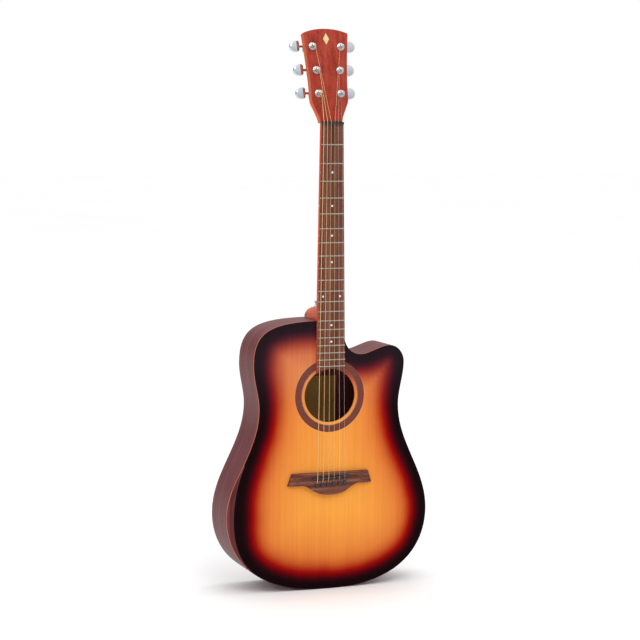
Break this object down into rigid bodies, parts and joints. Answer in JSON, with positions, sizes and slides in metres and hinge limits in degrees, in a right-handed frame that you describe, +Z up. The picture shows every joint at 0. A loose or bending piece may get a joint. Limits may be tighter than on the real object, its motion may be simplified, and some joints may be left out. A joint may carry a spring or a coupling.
{
  "type": "acoustic guitar",
  "caption": "Steel-string acoustic guitar with a rounded cutaway and arm bevel, sound hole with rosette, pin bridge, tilted headstock and geared tuners that turn.",
  "frame": {"origin": "under the middle of the whole instrument, at the height of the tail's lowest edge", "axes": "+Z up along the neck towards the headstock, -Y out of the soundboard towards the player's audience, +X towards the cutaway and the thinnest string"},
  "size_m": [0.394, 0.1224, 1.041],
  "materials": {
    "spruce_top": "satin sunburst lacquer over straight-grained spruce",
    "body_wood": "satin open-pore dark red-brown laminate",
    "trim_wood": "thin orange-brown wood binding",
    "rosette_wood": "inlaid brown wood ring with fine dark and pale lines",
    "inner_wood": "bare spruce and basswood",
    "neck_wood": "satin red-stained mahogany",
    "face_wood": "satin red-brown veneer",
    "board_wood": "bare oiled rosewood-like hardwood",
    "paper": "plain aged paper with no lettering",
    "pearl": "pearl-like dots",
    "cream_inlay": "cream inlay",
    "black_plastic": "black moulded plastic",
    "fret_metal": "polished nickel silver",
    "bronze_wire": "wound bronze wire",
    "plain_wire": "plain drawn steel wire",
    "chrome": "bright chrome plating",
    "steel": "plain steel"
  },
  "bodies": {
    "guitar": {"soundboard": "spruce_top", "back_plate": "body_wood", "side_bass": "body_wood", "side_treble": "body_wood", "end_graft": "trim_wood", "binding_front": "trim_wood", "arm_bevel": "body_wood", "rosette": "rosette_wood", "linings": "inner_wood", "neck_block": "inner_wood", "tail_block": "inner_wood", "top_braces": "inner_wood", "back_braces": "inner_wood", "bridge_plate": "inner_wood", "label": "paper", "neck": "neck_wood", "headstock_veneer": "face_wood", "headstock_inlay": "cream_inlay", "heel_cap": "body_wood", "fretboard": "board_wood", "frets": "fret_metal", "fret_markers": "pearl", "nut": "black_plastic", "truss_rod": "steel", "bridge": "board_wood", "saddle": "black_plastic", "bridge_pins": "black_plastic", "string_1": "bronze_wire", "string_2": "bronze_wire", "string_3": "bronze_wire", "string_4": "bronze_wire", "string_5": "plain_wire", "string_6": "plain_wire", "strap_button": "chrome", "strap_screw": "chrome", "tuner_housings": "chrome", "tuner_bushings": "chrome", "tuner_washers": "chrome", "tuner_screws": "chrome"},
    "rod_nut": {"truss_rod_nut": "steel"},
    "knob_1": {"tuner_shaft_1": "chrome", "tuner_button_1": "chrome"},
    "post_1": {"tuner_post_1": "chrome"},
    "knob_2": {"tuner_shaft_2": "chrome", "tuner_button_2": "chrome"},
    "post_2": {"tuner_post_2": "chrome"},
    "knob_3": {"tuner_shaft_3": "chrome", "tuner_button_3": "chrome"},
    "post_3": {"tuner_post_3": "chrome"},
    "knob_4": {"tuner_shaft_4": "chrome", "tuner_button_4": "chrome"},
    "post_4": {"tuner_post_4": "chrome"},
    "knob_5": {"tuner_shaft_5": "chrome", "tuner_button_5": "chrome"},
    "post_5": {"tuner_post_5": "chrome"},
    "knob_6": {"tuner_shaft_6": "chrome", "tuner_button_6": "chrome"},
    "post_6": {"tuner_post_6": "chrome"}
  },
  "joints": [
    {"name": "rod_nut_turn", "type": "hinge", "parent": "guitar", "child": "rod_nut", "pos_m": [0, -0.04159, 0.474], "axis": [0, 0, 1], "range_deg": [-180, 180]},
    {"name": "knob_1_turn", "type": "hinge", "parent": "guitar", "child": "knob_1", "pos_m": [-0.042, -0.01529, 0.92222], "axis": [-1, 0, 0], "continuous": true},
    {"name": "post_1_turn", "type": "hinge", "parent": "guitar", "child": "post_1", "pos_m": [-0.022, -0.03789, 0.92171], "axis": [0, -0.9781, 0.2079], "continuous": true},
    {"name": "knob_2_turn", "type": "hinge", "parent": "guitar", "child": "knob_2", "pos_m": [-0.0431, -0.00623, 0.96487], "axis": [-1, 0, 0], "continuous": true},
    {"name": "post_2_turn", "type": "hinge", "parent": "guitar", "child": "post_2", "pos_m": [-0.0231, -0.02883, 0.96436], "axis": [0, -0.9781, 0.2079], "continuous": true},
    {"name": "knob_3_turn", "type": "hinge", "parent": "guitar", "child": "knob_3", "pos_m": [-0.0478, 0.00302, 1.0084], "axis": [-1, 0, 0], "continuous": true},
    {"name": "post_3_turn", "type": "hinge", "parent": "guitar", "child": "post_3", "pos_m": [-0.0278, -0.01958, 1.00789], "axis": [0, -0.9781, 0.2079], "continuous": true},
    {"name": "knob_4_turn", "type": "hinge", "parent": "guitar", "child": "knob_4", "pos_m": [0.0478, 0.00302, 1.0084], "axis": [1, 0, 0], "continuous": true},
    {"name": "post_4_turn", "type": "hinge", "parent": "guitar", "child": "post_4", "pos_m": [0.0278, -0.01958, 1.00789], "axis": [0, -0.9781, 0.2079], "continuous": true},
    {"name": "knob_5_turn", "type": "hinge", "parent": "guitar", "child": "knob_5", "pos_m": [0.0431, -0.00623, 0.96487], "axis": [1, 0, 0], "continuous": true},
    {"name": "post_5_turn", "type": "hinge", "parent": "guitar", "child": "post_5", "pos_m": [0.0231, -0.02883, 0.96436], "axis": [0, -0.9781, 0.2079], "continuous": true},
    {"name": "knob_6_turn", "type": "hinge", "parent": "guitar", "child": "knob_6", "pos_m": [0.042, -0.01529, 0.92222], "axis": [1, 0, 0], "continuous": true},
    {"name": "post_6_turn", "type": "hinge", "parent": "guitar", "child": "post_6", "pos_m": [0.022, -0.03789, 0.92171], "axis": [0, -0.9781, 0.2079], "continuous": true}
  ],
  "couplings": [
    {"joint": "post_1_turn", "follows": "knob_1_turn", "ratio": 0.055556},
    {"joint": "post_2_turn", "follows": "knob_2_turn", "ratio": 0.055556},
    {"joint": "post_3_turn", "follows": "knob_3_turn", "ratio": 0.055556},
    {"joint": "post_4_turn", "follows": "knob_4_turn", "ratio": 0.055556},
    {"joint": "post_5_turn", "follows": "knob_5_turn", "ratio": 0.055556},
    {"joint": "post_6_turn", "follows": "knob_6_turn", "ratio": 0.055556}
  ]
}
